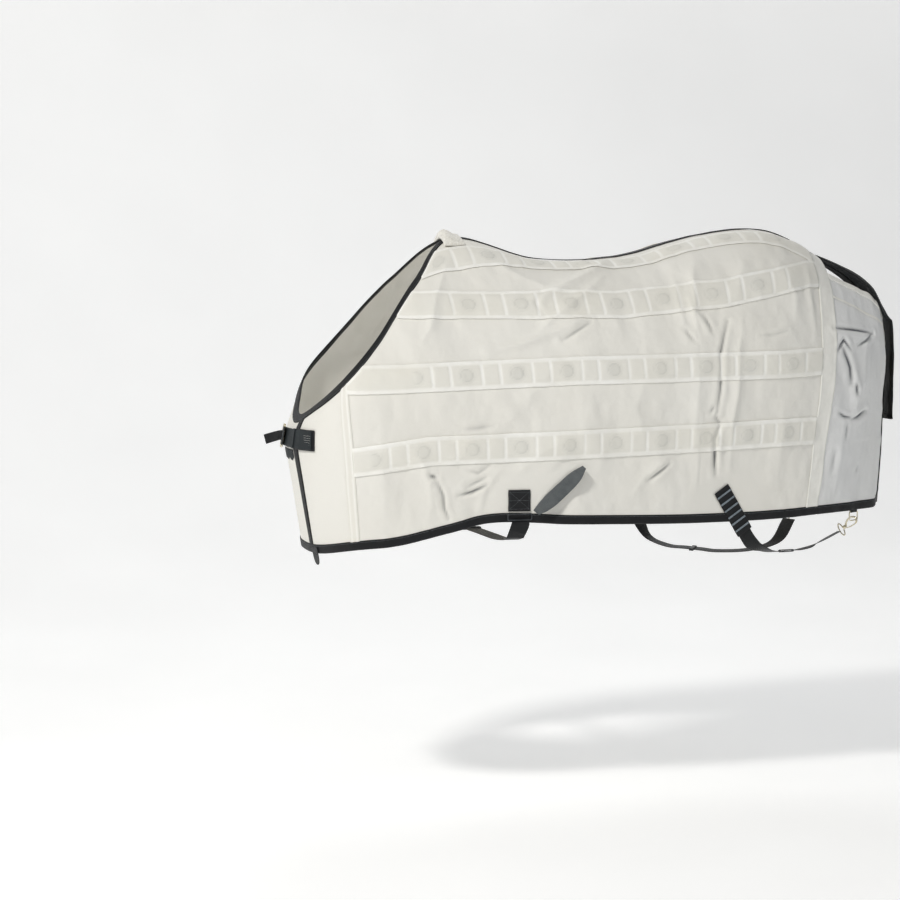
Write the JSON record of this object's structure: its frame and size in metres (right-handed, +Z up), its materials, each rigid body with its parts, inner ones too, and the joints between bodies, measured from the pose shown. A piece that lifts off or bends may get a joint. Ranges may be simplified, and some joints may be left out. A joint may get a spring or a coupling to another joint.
{
  "type": "horse fly sheet",
  "caption": "Mesh sheet shaped over a horse's trunk, open at the chest with a buckled strap, with stitched magnet channels, belly strap, hind leg straps and tail flap.",
  "frame": {"origin": "underside of the sheet on the middle line at the withers, where it rests on the horse", "axes": "+X toward the tail along the horse, +Y toward the horse's off (right) side, +Z up"},
  "size_m": [1.8395, 0.723, 0.947],
  "materials": {
    "white_mesh": "fine woven mesh, off-white, matt",
    "dark_mesh": "fine woven mesh, dark grey, matt",
    "black_binding": "folded woven binding tape, black with a slight sheen",
    "cream_tape": "woven tape sewn down along both edges, cream white",
    "magnet": "flexible magnets on a carrier tape",
    "fleece": "knitted pile, off-white",
    "elastic": "ribbed woven elastic, dark",
    "metal": "plated, satin with worn bright edges",
    "dark_plastic": "moulded, semi-matt",
    "webbing": "flat woven webbing, black, ribbed across"
  },
  "bodies": {
    "sheet": {"belly_loose_end": "webbing", "belly_patch_near": "webbing", "belly_strap": "webbing", "body_panel_near": "white_mesh", "body_panel_off": "white_mesh", "channel_0_near": "cream_tape", "channel_0_off": "cream_tape", "channel_1_near": "cream_tape", "channel_1_off": "cream_tape", "channel_2_near": "cream_tape", "channel_2_off": "cream_tape", "channel_3_near": "cream_tape", "channel_3_off": "cream_tape", "chest_billet": "webbing", "chest_elastic": "elastic", "chest_loop": "metal", "chest_patch_near": "webbing", "chest_web": "webbing", "edge_binding_near": "black_binding", "edge_binding_off": "black_binding", "front_tab": "webbing", "leg_eye_near": "metal", "leg_eye_off": "metal", "leg_patch_near": "webbing", "leg_patch_off": "webbing", "leg_strap_near": "webbing", "leg_strap_off": "webbing", "leg_tab_near": "webbing", "leg_tab_off": "webbing", "magnets_1_near": "magnet", "magnets_1_off": "magnet", "magnets_2_near": "magnet", "magnets_2_off": "magnet", "magnets_3_near": "magnet", "magnets_3_off": "magnet", "rear_binding_near": "black_binding", "rear_binding_off": "black_binding", "rear_facing_near": "cream_tape", "rear_facing_off": "cream_tape", "rear_panel_near": "white_mesh", "rear_panel_off": "white_mesh", "rear_top_binding_near": "cream_tape", "rear_top_binding_off": "cream_tape", "shoulder_seam_near": "cream_tape", "shoulder_seam_off": "cream_tape", "spine_tape": "black_binding", "wither_pad": "fleece"},
    "tail_flap": {"tail_flap": "dark_mesh", "tail_flap_binding": "black_binding"},
    "chest_keeper": {"chest_keeper": "elastic"},
    "belly_slider": {"belly_slider": "dark_plastic"},
    "belly_ring": {"belly_ring": "dark_plastic"},
    "leg_slider_near": {"leg_slider_near": "dark_plastic"},
    "leg_slider_off": {"leg_slider_off": "dark_plastic"},
    "leg_snap_near": {"leg_snap_near": "metal"},
    "leg_snap_off": {"leg_snap_off": "metal"},
    "leg_gate_near": {"leg_gate_near": "metal"},
    "leg_gate_off": {"leg_gate_off": "metal"},
    "leg_ring_near": {"leg_ring_near": "metal"},
    "leg_ring_off": {"leg_ring_off": "metal"}
  },
  "joints": [
    {"name": "tail_flap_lift", "type": "hinge", "parent": "sheet", "child": "tail_flap", "pos_m": [1.0891, 0, -0.0433], "axis": [0, -1, 0], "range_deg": [0, 70]},
    {"name": "chest_keeper_slide", "type": "slide", "parent": "sheet", "child": "chest_keeper", "axis": [-0.1408, 0.99, 0.0101], "range_m": [-0.004, 0.004]},
    {"name": "belly_slider_slide", "type": "slide", "parent": "sheet", "child": "belly_slider", "axis": [0, 1, 0], "range_m": [-0.1, 0.03]},
    {"name": "belly_ring_tilt", "type": "hinge", "parent": "sheet", "child": "belly_ring", "pos_m": [0.0883, -0.328, -0.7275], "axis": [-1, 0, 0], "range_deg": [0, 25]},
    {"name": "leg_slider_slide_near", "type": "slide", "parent": "sheet", "child": "leg_slider_near", "axis": [0.8049, 0.5896, -0.0664], "range_m": [-0.018, 0.018]},
    {"name": "leg_slider_slide_off", "type": "slide", "parent": "sheet", "child": "leg_slider_off", "axis": [0.7717, -0.6332, -0.0594], "range_m": [-0.018, 0.018]},
    {"name": "leg_snap_turn_near", "type": "hinge", "parent": "sheet", "child": "leg_snap_near", "pos_m": [1.1171, -0.1771, -0.8189], "axis": [0.3671, -0.7108, 0.6], "range_deg": [-40, 40]},
    {"name": "leg_snap_turn_off", "type": "hinge", "parent": "sheet", "child": "leg_snap_off", "pos_m": [1.1171, 0.1771, -0.8189], "axis": [0.3671, 0.7108, 0.6], "range_deg": [-40, 40]},
    {"name": "leg_gate_open_near", "type": "hinge", "parent": "leg_snap_near", "child": "leg_gate_near", "pos_m": [1.122, -0.1866, -0.8171], "axis": [-0.8885, -0.4589, 0], "range_deg": [0, 12], "stiffness_Nm_per_rad": 0.05},
    {"name": "leg_gate_open_off", "type": "hinge", "parent": "leg_snap_off", "child": "leg_gate_off", "pos_m": [1.122, 0.1866, -0.8171], "axis": [0.8885, -0.4589, 0], "range_deg": [0, 12], "stiffness_Nm_per_rad": 0.05},
    {"name": "leg_ring_tilt_near", "type": "hinge", "parent": "sheet", "child": "leg_ring_near", "pos_m": [1.132, -0.2059, -0.7686], "axis": [0.8885, 0.4589, 0], "range_deg": [-8, 8]},
    {"name": "leg_ring_tilt_off", "type": "hinge", "parent": "sheet", "child": "leg_ring_off", "pos_m": [1.132, 0.2059, -0.7686], "axis": [-0.8885, 0.4589, 0], "range_deg": [-8, 8]}
  ]
}
